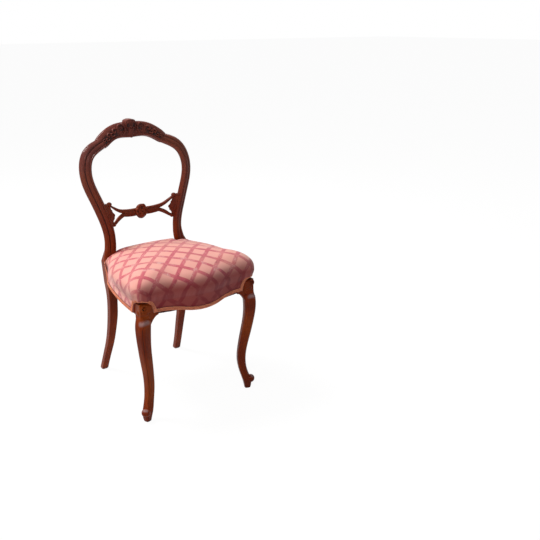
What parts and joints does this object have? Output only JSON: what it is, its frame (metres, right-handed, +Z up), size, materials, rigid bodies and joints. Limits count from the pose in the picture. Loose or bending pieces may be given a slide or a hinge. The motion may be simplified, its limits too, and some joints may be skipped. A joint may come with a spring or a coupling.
{
  "type": "balloon back dining chair",
  "caption": "Carved mahogany balloon back side chair with cabriole front legs, sabre back legs, a carved middle rail and a sprung, stuffed-over damask seat",
  "frame": {"origin": "On the floor, under the middle of the chair's width and depth.", "axes": "+Z is up, -Y is the front of the chair, and +X is on the right as seen from the front."},
  "size_m": [0.4284, 0.4926, 0.87],
  "materials": {
    "polished_wood": "french polished mahogany",
    "bare_wood": "bare beech",
    "steel": "dull",
    "pin_enamel": "enamelled to match the braid",
    "webbing": "woven jute",
    "twine": "laid hemp",
    "canvas": "plain weave",
    "hair": "curled horsehair",
    "wadding": "soft cotton",
    "damask": "ribbed damask with a diagonal trellis",
    "gimp": "scalloped braid",
    "dust_cloth": "black cotton"
  },
  "bodies": {
    "root": {"front_leg_right": "polished_wood", "front_leg_left": "polished_wood", "back_leg_right": "polished_wood", "back_leg_left": "polished_wood", "crest_rail": "polished_wood", "mid_rail": "polished_wood", "front_rail": "polished_wood", "side_rail_right": "polished_wood", "side_rail_left": "polished_wood", "back_rail": "polished_wood", "corner_block_front_right": "bare_wood", "corner_block_front_left": "bare_wood", "corner_block_back_right": "bare_wood", "corner_block_back_left": "bare_wood", "front_rail_dowels": "bare_wood", "side_rail_dowels": "bare_wood", "back_rail_dowels": "bare_wood", "crest_dowels": "bare_wood", "mid_rail_dowels": "bare_wood", "corner_block_screws": "steel", "webbing_tacks": "steel", "gimp_pins": "pin_enamel", "webbing_long_1": "webbing", "webbing_long_2": "webbing", "webbing_long_3": "webbing", "webbing_long_4": "webbing", "webbing_cross_1": "webbing", "webbing_cross_2": "webbing", "webbing_cross_3": "webbing", "webbing_cross_4": "webbing", "spring_front_right": "steel", "spring_front_left": "steel", "spring_back_right": "steel", "spring_back_left": "steel", "spring_twine": "twine", "spring_canvas": "canvas", "hair_stuffing": "hair", "wadding": "wadding", "seat_cover": "damask", "gimp_front": "gimp", "gimp_back": "gimp", "bottom_cloth": "dust_cloth"}
  },
  "joints": []
}
